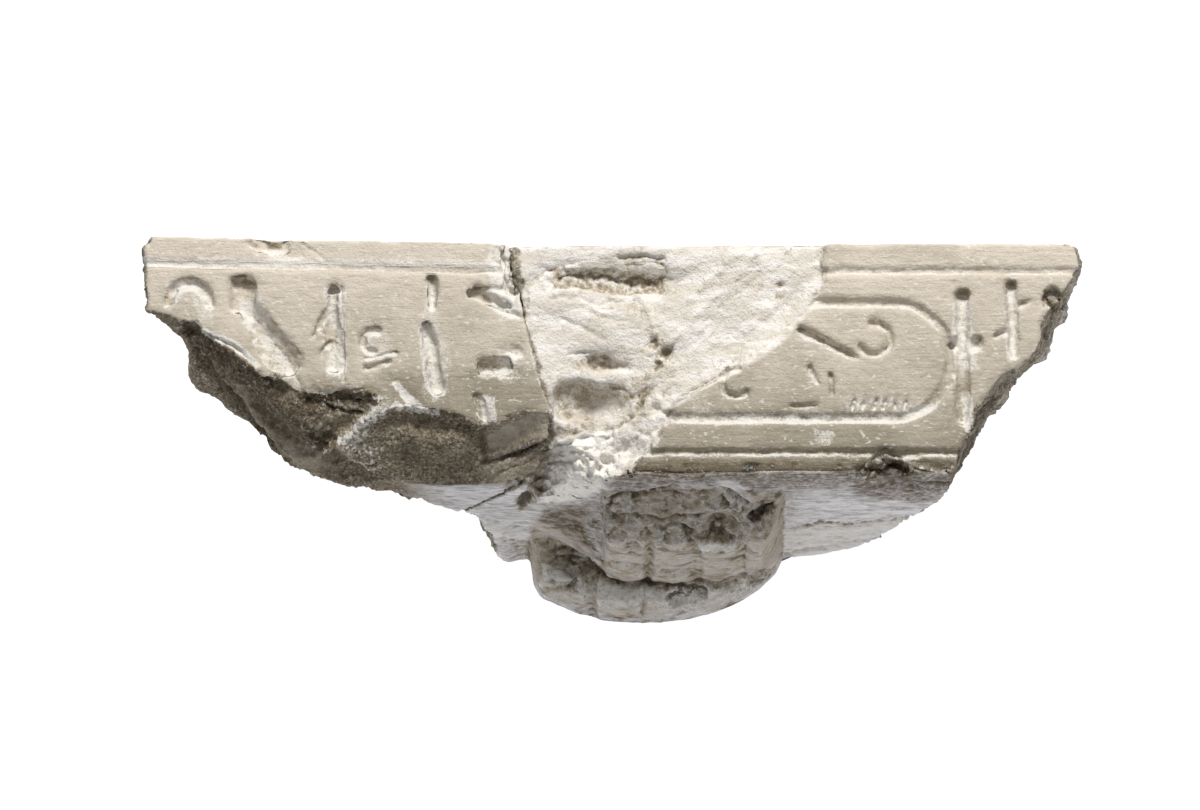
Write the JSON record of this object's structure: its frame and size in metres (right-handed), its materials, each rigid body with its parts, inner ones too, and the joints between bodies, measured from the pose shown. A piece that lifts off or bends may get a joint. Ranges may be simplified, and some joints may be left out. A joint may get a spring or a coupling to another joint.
{
  "type": "offering table fragment",
  "caption": "Broken piece of a small stone offering table: carved front edge with border lines, an oval ring and strokes, carried by carved fingers underneath.",
  "frame": {"origin": "under the middle of the piece's bounding box, on the surface that it lies on", "axes": "+X along the carved front edge, +Y towards the table's top face, +Z out of the carved face, which looks up while the piece lies on its broken back"},
  "size_m": [0.179, 0.0598, 0.083],
  "materials": {
    "left_stone": "dressed and worn, matte",
    "right_stone": "dressed and worn, matte"
  },
  "bodies": {
    "root": {"left_fragment": "left_stone", "right_fragment": "right_stone"}
  },
  "joints": []
}
